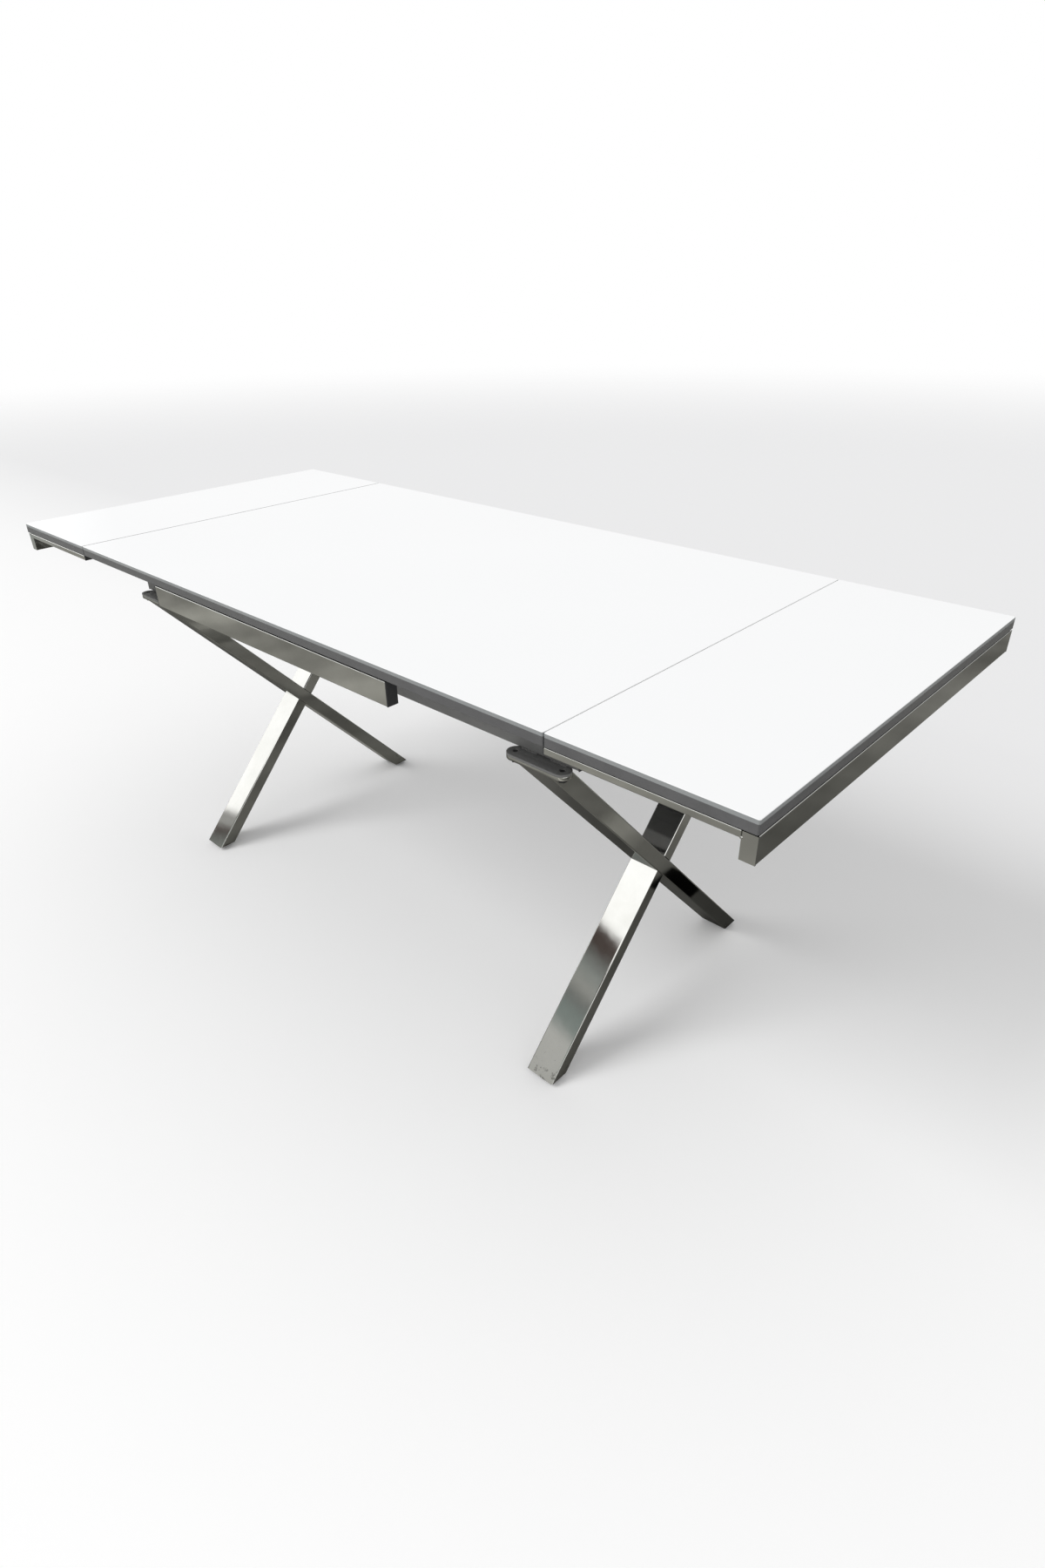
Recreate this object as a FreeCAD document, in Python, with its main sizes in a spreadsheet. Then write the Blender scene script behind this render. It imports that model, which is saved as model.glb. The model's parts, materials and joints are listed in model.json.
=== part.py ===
# Extending dining table: a glass-topped centre panel on crossed chrome legs, with a pull-out
# and a lift-off leaf at each end. Millimetres, +X along the length, +Y to the far side, +Z up,
# origin on the floor under the middle of the table. Both pull-outs are drawn fully out.
import FreeCAD, Part
import os
import re
import Sketcher
from FreeCAD import Rotation, Vector

# Driving dimensions, each written once.
SIZES = {
    # Tops
    "table_height": 770,
    "top_width": 800,
    "centre_length": 1300,
    "leaf_length": 299,
    "seam_gap": 1,
    "glass_thickness": 6,
    "board_thickness": 14,
    "top_corner_radius": 3,
    "glass_edge_radius": 1.2,
    "board_edge_radius": 1,
    "rest_clearance": 0.2,
    # Aprons under the long edges of the centre panel
    "shadow_gap": 2,
    "apron_depth": 20,
    "apron_height": 40,
    "apron_wall": 1.5,
    "apron_edge_radius": 1.5,
    "arm_stop_gap": 5,
    "spacer_diameter": 14,
    "access_hole_diameter": 12,
    "apron_screw_inset": 60,
    # Plastic end caps
    "cap_thickness": 2,
    "cap_plug_depth": 12,
    "plug_clearance": 0.1,
    # Pull-outs
    "beam_depth": 20,
    "beam_height": 37,
    "beam_wall": 1.5,
    "beam_edge_radius": 1.5,
    "beam_end_inset": 2,
    "arm_depth": 20,
    "arm_height": 10,
    "arm_wall": 1.5,
    "arm_edge_radius": 1.5,
    "arm_slide_gap": 0.5,
    "runner_size": 30,
    "runner_wall": 2,
    "runner_edge_radius": 1.5,
    "runner_insert": 181,
    "sleeve_length": 40,
    "slide_clearance": 0.3,
    "stop_gap": 0.5,
    "bush_length": 30,
    "pad_diameter": 16,
    "pad_thickness": 1.8,
    "pad_end_inset": 70,
    # Underframe
    "frame_inset": 108,
    "frame_gap": 10,
    "rail_width": 40,
    "rail_height": 50,
    "rail_wall": 2,
    "rail_edge_radius": 2,
    "guide_height": 43,
    "guide_wall": 2.5,
    "cross_member_width": 40,
    "tab_length": 30,
    "tab_width": 30,
    "tab_thickness": 3,
    "tab_corner_radius": 4,
    "tab_end_inset": 120,
    # Legs
    "leg_setback": 64,
    "leg_width": 60,
    "leg_depth": 30,
    "leg_wall": 2,
    "leg_edge_radius": 2.5,
    "foot_inset": 5,
    "leg_top_overhang": 5,
    "foot_plug_depth": 14,
    "glide_height": 8,
    "glide_diameter": 24,
    "glide_chamfer": 1.5,
    "stem_diameter": 8,
    "stem_length": 10,
    # Bolt plates between the legs and the rails
    "lug_thickness": 4,
    "flange_thickness": 6,
    "plate_length": 117,
    "plate_width": 31,
    "plate_overhang": 27,
    "plate_end_flat": 1,
    "tongue_reach": 30,
    "bolt_spacing": 90,
    "bolt_edge_distance": 15,
    "bolt_diameter": 8,
    "bolt_flats": 13,
    "bolt_head_height": 8,
    "bolt_sink": 1,
    "bolt_clearance": 0.25,
    # Screws into the boards
    "screw_diameter": 4,
    "screw_head_diameter": 8,
    "screw_head_height": 2.4,
    "screw_bite": 10,
    "screw_clearance": 0.1,
    # Seam plates, pins and sockets that locate a leaf
    "seam_plate_length": 90,
    "seam_plate_width": 30,
    "seam_plate_thickness": 1.5,
    "seam_plate_spacing": 300,
    "seam_plate_radius": 5,
    "seam_screw_inset": 12,
    "seam_screw_pitch": 18,
    "seam_screw_diameter": 3,
    "seam_screw_head": 5.4,
    "pin_diameter": 6,
    "pin_height": 8,
    "pin_reach": 25,
    "pin_clearance": 0.3,
    "pin_lead": 1,
    "socket_diameter": 9.5,
    "socket_depth": 10,
    "press_clearance": 0.05,
    # How far a cutter runs past what it cuts
    "overrun": 5,
}

# Places worked out from the driving dimensions.
PLACES = {
    "half_width": "top_width / 2",
    "centre_half": "centre_length / 2",
    "leaf_start": "centre_half + seam_gap",
    "leaf_end": "leaf_start + leaf_length",
    "leaf_middle": "(leaf_start + leaf_end) / 2",
    "travel": "seam_gap + leaf_length",
    "board_top": "table_height - glass_thickness",
    "board_bottom": "board_top - board_thickness",
    "leaf_board_thickness": "board_thickness - rest_clearance",
    "leaf_bottom": "board_top - leaf_board_thickness",
    "tube_top": "board_bottom - shadow_gap",
    "apron_half": "centre_half - travel - arm_stop_gap",
    "apron_tube_half": "apron_half - cap_thickness",
    "apron_y": "half_width - apron_depth / 2",
    "apron_bottom": "tube_top - apron_height",
    "apron_z": "tube_top - apron_height / 2",
    "apron_screw_x": "apron_half - apron_screw_inset",
    "beam_inner": "leaf_end - beam_depth",
    "beam_x": "leaf_end - beam_depth / 2",
    "beam_z": "tube_top - beam_height / 2",
    "beam_half": "half_width - beam_end_inset - cap_thickness",
    "arm_start": "centre_half + cap_thickness",
    "arm_y": "half_width - arm_depth / 2",
    "arm_top": "board_bottom - arm_slide_gap",
    "arm_z": "arm_top - arm_height / 2",
    "frame_half": "centre_half - beam_depth - frame_gap",
    "rail_outer": "half_width - frame_inset",
    "rail_inner": "rail_outer - rail_width",
    "rail_y": "rail_outer - rail_width / 2",
    "guide_bottom": "board_bottom - guide_height",
    "guide_z": "board_bottom - guide_height / 2",
    "cavity_width": "rail_width - 2 * guide_wall",
    "cavity_height": "guide_height - 2 * guide_wall",
    "rail_bottom": "guide_bottom - rail_height",
    "rail_z": "guide_bottom - rail_height / 2",
    "runner_start": "frame_half - runner_insert",
    "runner_bore": "runner_size + 2 * slide_clearance",
    "stop_end": "frame_half - bush_length - stop_gap",
    "tab_x": "frame_half - tab_end_inset",
    "tab_y": "rail_inner - tab_width / 2",
    "tab_bottom": "board_bottom - tab_thickness",
    "lug_bottom": "rail_bottom - lug_thickness",
    "leg_top": "lug_bottom - flange_thickness",
    "leg_x": "frame_half - leg_setback",
    "leg_rise": "leg_top - glide_height",
    "foot_spread": "2 * (rail_outer - foot_inset)",
    "leg_top_spread": "2 * (rail_outer + leg_top_overhang)",
    "leg_run": "(foot_spread + leg_top_spread) / 2",
    "leg_slant": "sqrt(leg_rise ^ 2 + leg_run ^ 2)",
    "leg_spare": "leg_slant + 2 * leg_width",
    "leg_middle_y": "(foot_spread - leg_top_spread) / 4",
    "leg_middle_z": "glide_height + leg_rise / 2",
    "crossing_z": "glide_height + leg_rise * foot_spread / (foot_spread + leg_top_spread)",
    "plate_y": "rail_outer + plate_overhang - plate_width / 2",
    "plate_corner_radius": "(plate_width - plate_end_flat) / 2",
    "tongue_length": "plate_overhang - plate_width / 2 + tongue_reach",
    "tongue_y": "plate_y - tongue_length / 2",
    "bolt_y": "rail_outer + plate_overhang - bolt_edge_distance",
    "seam_plate_y": "seam_plate_spacing / 2",
    "seam_plate_z": "board_bottom - seam_plate_thickness",
    "pin_x": "centre_half + pin_reach",
    "seam_screw_x": "centre_half - seam_screw_inset",
    "socket_outer": "socket_diameter - 2 * press_clearance",
}
LEG_LEAN = "atan(leg_run / leg_rise)"
WORD = re.compile(r"[a-z_]+")
PLACE_PATHS = {"x": "Placement.Base.x", "y": "Placement.Base.y", "z": "Placement.Base.z",
               "turn": "Placement.Rotation.Angle"}

doc = FreeCAD.newDocument("ExtendingTable")
sheet = doc.addObject("Spreadsheet::Sheet", "Sizes")
for row, (alias, number) in enumerate(SIZES.items(), 1):
    sheet.set(f"A{row}", alias)
    sheet.set(f"B{row}", str(number))
    sheet.setAlias(f"B{row}", alias)
for row, (alias, formula) in enumerate(PLACES.items(), 1):
    sheet.set(f"D{row}", alias)
    sheet.set(f"E{row}", "=" + formula)
    sheet.setAlias(f"E{row}", alias)
doc.recompute()

nodes = []


def on_sheet(formula):
    """A formula in plain size names, with each name pointed at the sheet."""
    def point(match):
        word = match.group()
        return f"Sizes.{word}" if word in SIZES or word in PLACES else word
    return WORD.sub(point, formula)


def value(formula):
    """The number that a formula in size names comes to."""
    return float(sheet.evalExpression(on_sheet(formula)))


def bind(item, **formulas):
    """Ties an object's properties to the sheet; x, y, z and turn stand for its placement."""
    for name, formula in formulas.items():
        item.setExpression(PLACE_PATHS.get(name, name), on_sheet(formula))
    return item


def node(label, item):
    """Hands an object in as a named piece of the table."""
    item.Label = label
    nodes.append(item)
    return item


def boolean(kind, name, base, tool):
    item = doc.addObject(kind, name)
    item.Base = base
    item.Tool = tool
    return item


def mirrored(item, axis):
    """The image of an object across the plane through the origin that is square to an axis."""
    image = doc.addObject("Part::Mirroring", item.Name + "_image")
    image.Source = item
    image.Normal = axis
    return image


ALONG = Vector(1, 0, 0)
ACROSS = Vector(0, 1, 0)


def gathered(name, items):
    """Separate solids that share one name."""
    group = doc.addObject("Part::Compound", name)
    group.Links = items
    return group


def both_sides(item):
    """An object and its image on the other long side."""
    return [item, mirrored(item, ACROSS)]


def four_corners(item):
    """An object and its images at the other three corners."""
    pair = both_sides(item)
    return pair + [mirrored(one, ALONG) for one in pair]


def right_and_left(label, item):
    """A piece of the right-hand end and its twin on the left."""
    node("right_" + label, item)
    node("left_" + label, mirrored(item, ALONG))


def cylinder(name, diameter, height, **place):
    item = doc.addObject("Part::Cylinder", name)
    return bind(item, Radius=f"({diameter}) / 2", Height=height, **place)


def sketch_on(body, plane, name):
    """An empty sketch on one of a body's own origin planes."""
    sketch = body.newObject("Sketcher::SketchObject", name)
    support = next(item for item in body.Origin.OriginFeatures if item.Role == plane)
    sketch.AttachmentSupport = (support, [""])
    sketch.MapMode = "FlatFace"
    return sketch


def draw_rectangle(sketch, tag, width, height):
    """A rectangle of named width and height about the sketch's origin."""
    across, up = value(width) / 2, value(height) / 2
    corners = [Vector(-across, -up, 0), Vector(across, -up, 0), Vector(across, up, 0), Vector(-across, up, 0)]
    first = sketch.GeometryCount
    for start, end in zip(corners, corners[1:] + corners[:1]):
        sketch.addGeometry(Part.LineSegment(start, end), False)
    bottom, right, top, left = range(first, first + len(corners))
    for line, following in ((bottom, right), (right, top), (top, left), (left, bottom)):
        sketch.addConstraint(Sketcher.Constraint("Coincident", line, 2, following, 1))
    for line in (bottom, top):
        sketch.addConstraint(Sketcher.Constraint("Horizontal", line))
    for line in (right, left):
        sketch.addConstraint(Sketcher.Constraint("Vertical", line))
    sketch.addConstraint(Sketcher.Constraint("Symmetric", bottom, 1, top, 1, -1, 1))
    measures = (("DistanceX", bottom, "width", width), ("DistanceY", right, "height", height))
    for kind, line, measure, formula in measures:
        number = sketch.addConstraint(Sketcher.Constraint(kind, line, 1, line, 2, value(formula)))
        sketch.renameConstraint(number, f"{tag}_{measure}")
        sketch.setExpression(f"Constraints.{tag}_{measure}", on_sheet(formula))


def draw_hole_pair(sketch, diameter, spacing, height):
    """Two equal circles, a spacing apart about the upright axis, at a height in the sketch."""
    first = sketch.GeometryCount
    for side in (-1, 1):
        centre = Vector(side * value(spacing) / 2, value(height), 0)
        sketch.addGeometry(Part.Circle(centre, Vector(0, 0, 1), value(diameter) / 2), False)
    left, right = first, first + 1
    sketch.addConstraint(Sketcher.Constraint("Symmetric", left, 3, right, 3, -2))
    sketch.addConstraint(Sketcher.Constraint("Equal", left, right))
    measures = (("Diameter", (left,), "hole_diameter", diameter),
                ("DistanceX", (left, 3, right, 3), "hole_spacing", spacing),
                ("DistanceY", (-1, 1, left, 3), "hole_height", height))
    for kind, items, measure, formula in measures:
        number = sketch.addConstraint(Sketcher.Constraint(kind, *items, value(formula)))
        sketch.renameConstraint(number, measure)
        sketch.setExpression(f"Constraints.{measure}", on_sheet(formula))


def pad(body, sketch, length, side="Symmetric", back=False):
    feature = body.newObject("PartDesign::Pad", sketch.Name + "_pad")
    feature.Profile = sketch
    feature.SideType = side
    feature.Reversed = back
    bind(feature, Length=length)
    doc.recompute()
    return feature


def pocket_through(body, sketch):
    """Cuts a sketch's outline right through, to both sides of its plane."""
    before = body.Shape.Volume
    feature = body.newObject("PartDesign::Pocket", sketch.Name + "_pocket")
    feature.Profile = sketch
    feature.SideType = "Symmetric"
    feature.Type = "ThroughAll"
    doc.recompute()
    if not body.Shape.Volume < before:
        raise RuntimeError(f"{sketch.Name} cut nothing")
    return feature


def rounded(body, edges, radius):
    """Rounds some edges of a body's last feature."""
    base = body.Tip
    feature = body.newObject("PartDesign::Fillet", body.Name + "_rounding")
    feature.Base = (base, edges)
    bind(feature, Radius=radius)
    doc.recompute()
    return feature


def edge_names(body, wanted):
    """Names of the straight edges of a body's last feature whose two ends pass a test."""
    names = []
    for number, edge in enumerate(body.Tip.Shape.Edges, 1):
        if len(edge.Vertexes) == 2 and wanted(edge.Vertexes[0].Point, edge.Vertexes[1].Point):
            names.append(f"Edge{number}")
    return names


def outer_edges_along(body, axis):
    """The long edges at the outer corners of a tube that runs along an axis."""
    box = body.Tip.Shape.BoundBox
    limits = ((box.XMin, box.XMax), (box.YMin, box.YMax), (box.ZMin, box.ZMax))
    cross = [index for index in range(3) if index != axis]

    def at_corner(start, end):
        lies_along = all(abs(start[index] - end[index]) < Part.Precision.confusion() for index in cross)
        return lies_along and all(
            min(abs(start[index] - limit) for limit in limits[index]) < Part.Precision.confusion()
            for index in cross)
    return edge_names(body, at_corner)


def face_edges_at_height(body, height):
    """The edges of a plate that lie at one height of its own frame."""
    def level(start, end):
        return all(abs(point.z - height) < Part.Precision.confusion() for point in (start, end))
    return edge_names(body, level)


TUBE_PLANES = ("YZ_Plane", "XZ_Plane", "XY_Plane")
X_AXIS, Y_AXIS, Z_AXIS = range(len(TUBE_PLANES))


def tube(name, axis, length, outer, inner, radius=None, side="Symmetric", back=False):
    """A rectangular tube along an axis, about its own middle unless it is padded to one side."""
    body = doc.addObject("PartDesign::Body", name)
    section = sketch_on(body, TUBE_PLANES[axis], name + "_section")
    draw_rectangle(section, "outer", *outer)
    draw_rectangle(section, "inner", *inner)
    pad(body, section, length, side, back)
    if radius:
        rounded(body, outer_edges_along(body, axis), radius)
    return body


def inside(size, wall):
    return f"({size}) - 2 * {wall}"


def walled_tube(name, axis, length, outer, wall, radius, **options):
    return tube(name, axis, length, outer, tuple(inside(size, wall) for size in outer), radius, **options)


def plate(name, length, width, thickness):
    """A flat plate that stands on its own XY plane."""
    body = doc.addObject("PartDesign::Body", name)
    outline = sketch_on(body, "XY_Plane", name + "_outline")
    draw_rectangle(outline, "plate", length, width)
    pad(body, outline, thickness, "One side")
    return body


def end_cap(name, axis, outer, wall, back=False):
    """A plug with a flange; the flange covers the tube's end and grows away from the tube."""
    body = doc.addObject("PartDesign::Body", name)
    flange = sketch_on(body, TUBE_PLANES[axis], name + "_flange")
    draw_rectangle(flange, "flange", *outer)
    pad(body, flange, "cap_thickness", "One side", back)
    plug = sketch_on(body, TUBE_PLANES[axis], name + "_plug")
    draw_rectangle(plug, "plug", *(inside(inside(size, wall), "plug_clearance") for size in outer))
    pad(body, plug, "cap_plug_depth", "One side", not back)
    return body


def wood_screw(name, diameter, head_diameter, head_height, grip, x, y, z):
    """A screw that points up: its head hangs below z, and it goes through its grip into a board."""
    head = cylinder(name + "_head", head_diameter, head_height, x=x, y=y, z=f"{z} - {head_height}")
    shank = cylinder(name + "_shank", diameter, f"{grip} + screw_bite", x=x, y=y, z=z)
    return boolean("Part::Fuse", name, head, shank)


def pilot(name, diameter, x, y):
    """The cutter of a screw's hole in a board's underside."""
    return cylinder(name, f"{diameter} + 2 * screw_clearance", "overrun + screw_bite + screw_clearance",
                    x=x, y=y, z="board_bottom - overrun")


def clearance_hole(name, x, y, z, diameter="screw_diameter"):
    """The cutter of a screw's hole in a thin wall about a height."""
    return cylinder(name, f"{diameter} + 2 * screw_clearance", "2 * overrun", x=x, y=y, z=f"{z} - overrun")


# Screw places in the centre board's underside
def centre_pilots():
    apron_ends = four_corners(pilot("apron_end_pilot", "screw_diameter", "apron_screw_x", "apron_y"))
    apron_middles = both_sides(pilot("apron_middle_pilot", "screw_diameter", "0", "apron_y"))
    tab_ends = four_corners(pilot("tab_end_pilot", "screw_diameter", "tab_x", "tab_y"))
    tab_middles = both_sides(pilot("tab_middle_pilot", "screw_diameter", "0", "tab_y"))
    seam_outer = four_corners(
        pilot("seam_outer_pilot", "seam_screw_diameter", "seam_screw_x", "seam_plate_y"))
    seam_inner = four_corners(
        pilot("seam_inner_pilot", "seam_screw_diameter", "seam_screw_x - seam_screw_pitch", "seam_plate_y"))
    return gathered("centre_pilots", apron_ends + apron_middles + tab_ends + tab_middles
                    + seam_outer + seam_inner)


# Centre panel
def panel(name, length, thickness, edge_radius, edge_heights):
    """A sheet of the top, with rounded corners and broken edges."""
    body = plate(name, length, "top_width", thickness)
    rounded(body, outer_edges_along(body, Z_AXIS), "top_corner_radius")
    for height in edge_heights:
        rounded(body, face_edges_at_height(body, value(height)), edge_radius)
    return body


def make_centre_panel():
    glass = panel("centre_glass_sheet", "centre_length", "glass_thickness", "glass_edge_radius",
                  ("glass_thickness",))
    node("centre_top_glass", bind(glass, z="board_top"))
    board = panel("centre_board_sheet", "centre_length", "board_thickness", "board_edge_radius", ("0",))
    bind(board, z="board_bottom")
    node("centre_top_board", boolean("Part::Cut", "centre_board_drilled", board, centre_pilots()))


# Aprons
def make_aprons():
    section = ("apron_depth", "apron_height")
    apron = walled_tube("apron_tube", X_AXIS, "2 * apron_tube_half", section, "apron_wall",
                        "apron_edge_radius")
    bind(apron, y="apron_y", z="apron_z")
    holes = []
    for place, x in (("right", "apron_screw_x"), ("middle", "0"), ("left", "-apron_screw_x")):
        holes.append(clearance_hole(f"apron_hole_{place}", x, "apron_y", "tube_top"))
        holes.append(cylinder(f"apron_access_{place}", "access_hole_diameter", "2 * overrun",
                              x=x, y="apron_y", z="apron_bottom - overrun"))
    far = boolean("Part::Cut", "apron_drilled", apron, gathered("apron_holes", holes))
    node("centre_apron_far", far)
    node("centre_apron_near", mirrored(far, ACROSS))
    cap = bind(end_cap("apron_cap", X_AXIS, section, "apron_wall"),
               x="apron_tube_half", y="apron_y", z="apron_z")
    node("apron_end_caps", gathered("apron_caps", four_corners(cap)))
    spacers = []
    screws = []
    for place, x, spread in (("end", "apron_screw_x", four_corners), ("middle", "0", both_sides)):
        washer = cylinder(f"spacer_{place}", "spacer_diameter", "shadow_gap", x=x, y="apron_y", z="tube_top")
        bore = clearance_hole(f"spacer_bore_{place}", x, "apron_y", "tube_top")
        spacers += spread(boolean("Part::Cut", f"spacer_ring_{place}", washer, bore))
        screws += spread(wood_screw(f"apron_screw_{place}", "screw_diameter", "screw_head_diameter",
                                    "screw_head_height", "apron_wall + shadow_gap",
                                    x, "apron_y", "tube_top - apron_wall"))
    node("apron_spacers", gathered("apron_spacer_group", spacers))
    node("apron_screws", gathered("apron_screw_group", screws))


# Underframe
def make_underframe():
    rail_section = ("rail_width", "rail_height")
    guide_section = ("rail_width", "guide_height")
    rail = walled_tube("rail_tube", X_AXIS, "2 * frame_half", rail_section, "rail_wall", "rail_edge_radius")
    node("main_rail_far", bind(rail, y="rail_y", z="rail_z"))
    node("main_rail_near", mirrored(rail, ACROSS))
    guide = tube("guide_tube", X_AXIS, "2 * frame_half", guide_section, ("cavity_width", "cavity_height"))
    node("slide_guide_far", bind(guide, y="rail_y", z="guide_z"))
    node("slide_guide_near", mirrored(guide, ACROSS))
    cap = bind(end_cap("rail_cap", X_AXIS, rail_section, "rail_wall"), x="frame_half", y="rail_y", z="rail_z")
    node("rail_end_caps", gathered("rail_caps", four_corners(cap)))
    node("guide_bushes", gathered("guide_bush_group", four_corners(guide_bush(guide_section))))
    middle = walled_tube("cross_tube_middle", Y_AXIS, "2 * rail_inner", ("cross_member_width", "rail_height"),
                         "rail_wall", "rail_edge_radius")
    node("cross_member_centre", bind(middle, z="rail_z"))
    end = walled_tube("cross_tube_end", Y_AXIS, "2 * rail_inner", ("cross_member_width", "rail_height"),
                      "rail_wall", "rail_edge_radius")
    node("cross_member_right", bind(end, x="leg_x", z="rail_z"))
    node("cross_member_left", mirrored(end, ALONG))


def guide_bush(guide_section):
    """A nylon bush pushed into a guide's mouth, with a collar outside it."""
    body = doc.addObject("PartDesign::Body", "guide_bush")
    collar = sketch_on(body, "YZ_Plane", "bush_collar")
    draw_rectangle(collar, "collar", *guide_section)
    pad(body, collar, "cap_thickness", "One side")
    plug = sketch_on(body, "YZ_Plane", "bush_plug")
    draw_rectangle(plug, "plug", "cavity_width", "cavity_height")
    pad(body, plug, "bush_length", "One side", True)
    bore = sketch_on(body, "YZ_Plane", "bush_bore")
    draw_rectangle(bore, "bore", "runner_bore", "runner_bore")
    pocket_through(body, bore)
    return bind(body, x="frame_half", y="rail_y", z="guide_z")


def inboard_edges(body):
    """The upright edges of a plate on the side that faces the table's middle."""
    def upright(start, end):
        return start.y < 0 and abs(start.x - end.x) + abs(start.y - end.y) < Part.Precision.confusion()
    return edge_names(body, upright)


def make_top_fixings():
    tabs = []
    screws = []
    for place, x, spread in (("end", "tab_x", four_corners), ("middle", "0", both_sides)):
        tab = plate(f"tab_{place}", "tab_length", "tab_width", "tab_thickness")
        rounded(tab, inboard_edges(tab), "tab_corner_radius")
        bind(tab, x=x, y="tab_y", z="tab_bottom")
        hole = clearance_hole(f"tab_hole_{place}", x, "tab_y", "tab_bottom")
        tabs += spread(boolean("Part::Cut", f"tab_drilled_{place}", tab, hole))
        screws += spread(wood_screw(f"tab_screw_{place}", "screw_diameter", "screw_head_diameter",
                                    "screw_head_height", "tab_thickness", x, "tab_y", "tab_bottom"))
    node("top_fixing_tabs", gathered("tab_group", tabs))
    node("top_fixing_screws", gathered("tab_screw_group", screws))


# Legs
def leaning(item, lean, y, z):
    """Leans a leg piece about the X axis; a positive lean carries its top to the near side."""
    item.Placement.Rotation = Rotation(ALONG, value(lean))
    return bind(item, x="leg_x", y=y, z=z, turn=lean)


def leg_block(name, width, depth):
    """A solid bar on a trestle's unbroken leg, long enough to run out at both ends."""
    body = doc.addObject("PartDesign::Body", name)
    section = sketch_on(body, "XY_Plane", name + "_section")
    draw_rectangle(section, "bar", width, depth)
    pad(body, section, "leg_spare")
    return body


def level_slab(name, bottom, height):
    """A broad slab that trims leg pieces level at its two faces."""
    slab = doc.addObject("Part::Box", name)
    return bind(slab, Length="2 * leg_width", Width="2 * leg_run", Height=height,
                x="leg_x - leg_width", y="-leg_run", z=bottom)


def make_legs():
    section = ("leg_width", "leg_depth")
    slab = level_slab("leg_slab", "glide_height", "leg_rise")
    long_tube = walled_tube("long_leg_tube", Z_AXIS, "leg_spare", section, "leg_wall", "leg_edge_radius")
    leaning(long_tube, LEG_LEAN, "leg_middle_y", "leg_middle_z")
    right_and_left("long_leg", boolean("Part::Common", "long_leg", long_tube, slab))
    crossing = leg_block("crossing_block", "leg_width + 2 * overrun", "leg_depth")
    leaning(crossing, LEG_LEAN, "leg_middle_y", "leg_middle_z")
    for label, downward in (("upper_half_leg", False), ("lower_half_leg", True)):
        half = walled_tube(label + "_tube", Z_AXIS, "leg_spare / 2", section, "leg_wall", "leg_edge_radius",
                           side="One side", back=downward)
        leaning(half, f"-{LEG_LEAN}", "0", "crossing_z")
        level = boolean("Part::Common", label + "_level", half, slab)
        right_and_left(label, boolean("Part::Cut", label + "_butted", level, crossing))


def make_feet():
    bore = tuple(inside(size, "leg_wall") for size in ("leg_width", "leg_depth"))
    slab = level_slab("plug_slab", "glide_height", "foot_plug_depth")
    filling = leg_block("foot_filling", *bore)
    leaning(filling, LEG_LEAN, "leg_middle_y", "leg_middle_z")
    foot_y = "foot_spread / 2"
    plug = boolean("Part::Common", "foot_plug", filling, slab)
    hole = cylinder("stem_hole", "stem_diameter + 2 * screw_clearance",
                    "overrun + stem_length + screw_clearance",
                    x="leg_x", y=foot_y, z="glide_height - overrun")
    node("foot_plugs", gathered("foot_plug_group",
                                four_corners(boolean("Part::Cut", "foot_plug_drilled", plug, hole))))
    sole = bind(doc.addObject("Part::Cone", "glide_sole"), Radius1="glide_diameter / 2 - glide_chamfer",
                Radius2="glide_diameter / 2", Height="glide_chamfer", x="leg_x", y=foot_y)
    disc = cylinder("glide_disc", "glide_diameter", "glide_height - glide_chamfer",
                    x="leg_x", y=foot_y, z="glide_chamfer")
    stem = cylinder("glide_stem", "stem_diameter", "stem_length", x="leg_x", y=foot_y, z="glide_height")
    glide = boolean("Part::Fuse", "foot_glide", boolean("Part::Fuse", "glide_pad", sole, disc), stem)
    node("foot_glides", gathered("foot_glide_group", four_corners(glide)))


# Bolt plates
def bolt_plate(name, thickness, z):
    """A round-ended bar with the two bolt holes, and a tongue that reaches in under the rail."""
    bar = plate(name + "_bar", "plate_length", "plate_width", thickness)
    rounded(bar, outer_edges_along(bar, Z_AXIS), "plate_corner_radius")
    holes = sketch_on(bar, "XY_Plane", name + "_holes")
    draw_hole_pair(holes, "bolt_diameter + 2 * bolt_clearance", "bolt_spacing", "bolt_y - plate_y")
    pocket_through(bar, holes)
    bind(bar, x="leg_x", y="plate_y", z=z)
    tongue = plate(name + "_tongue", "leg_width", "tongue_length", thickness)
    bind(tongue, x="leg_x", y="tongue_y", z=z)
    return boolean("Part::Fuse", name, bar, tongue)


def make_bolt_plates():
    lug = bolt_plate("lug_plate", "lug_thickness", "lug_bottom")
    node("frame_lugs", gathered("lug_group", four_corners(lug)))
    flange = bolt_plate("flange_plate", "flange_thickness", "leg_top")
    node("leg_flanges", gathered("flange_group", four_corners(flange)))
    bolts = []
    for place, x in (("outer", "leg_x + bolt_spacing / 2"), ("inner", "leg_x - bolt_spacing / 2")):
        head = doc.addObject("Part::Prism", f"bolt_head_{place}")
        head.Polygon = 6
        bind(head, Circumradius="bolt_flats / sqrt(3)", Height="bolt_head_height",
             x=x, y="bolt_y", z="leg_top - bolt_head_height")
        shank = cylinder(f"bolt_shank_{place}", "bolt_diameter",
                         "flange_thickness + lug_thickness - bolt_sink", x=x, y="bolt_y", z="leg_top")
        bolts += four_corners(boolean("Part::Fuse", f"bolt_{place}", head, shank))
    node("flange_bolts", gathered("bolt_group", bolts))


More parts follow.
